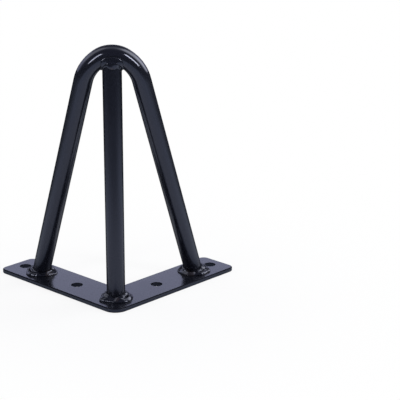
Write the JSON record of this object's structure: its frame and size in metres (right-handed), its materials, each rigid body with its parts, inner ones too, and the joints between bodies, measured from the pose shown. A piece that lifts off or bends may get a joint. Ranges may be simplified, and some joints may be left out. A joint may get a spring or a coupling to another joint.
{
  "type": "hairpin table leg",
  "caption": "Short black steel table leg: a bent hairpin rod and a straight centre rod welded to a flat L-shaped mounting plate with screw holes.",
  "frame": {"origin": "on the mounting face of the plate, where the centre lines of its two arms cross", "axes": "+X along one arm, +Y along the other, +Z out of the plate towards the foot of the leg"},
  "size_m": [0.1328, 0.1328, 0.187],
  "materials": {
    "plate_coat": "black powder coat, semi-gloss",
    "rod_coat": "black powder coat, semi-gloss",
    "weld_coat": "black powder coat, glossy where it has run over the weld"
  },
  "bodies": {
    "root": {"mounting_plate": "plate_coat", "hairpin_rod": "rod_coat", "centre_rod": "rod_coat", "x_arm_foot_weld": "weld_coat", "y_arm_foot_weld": "weld_coat", "centre_foot_weld": "weld_coat", "top_weld": "weld_coat"}
  },
  "joints": []
}
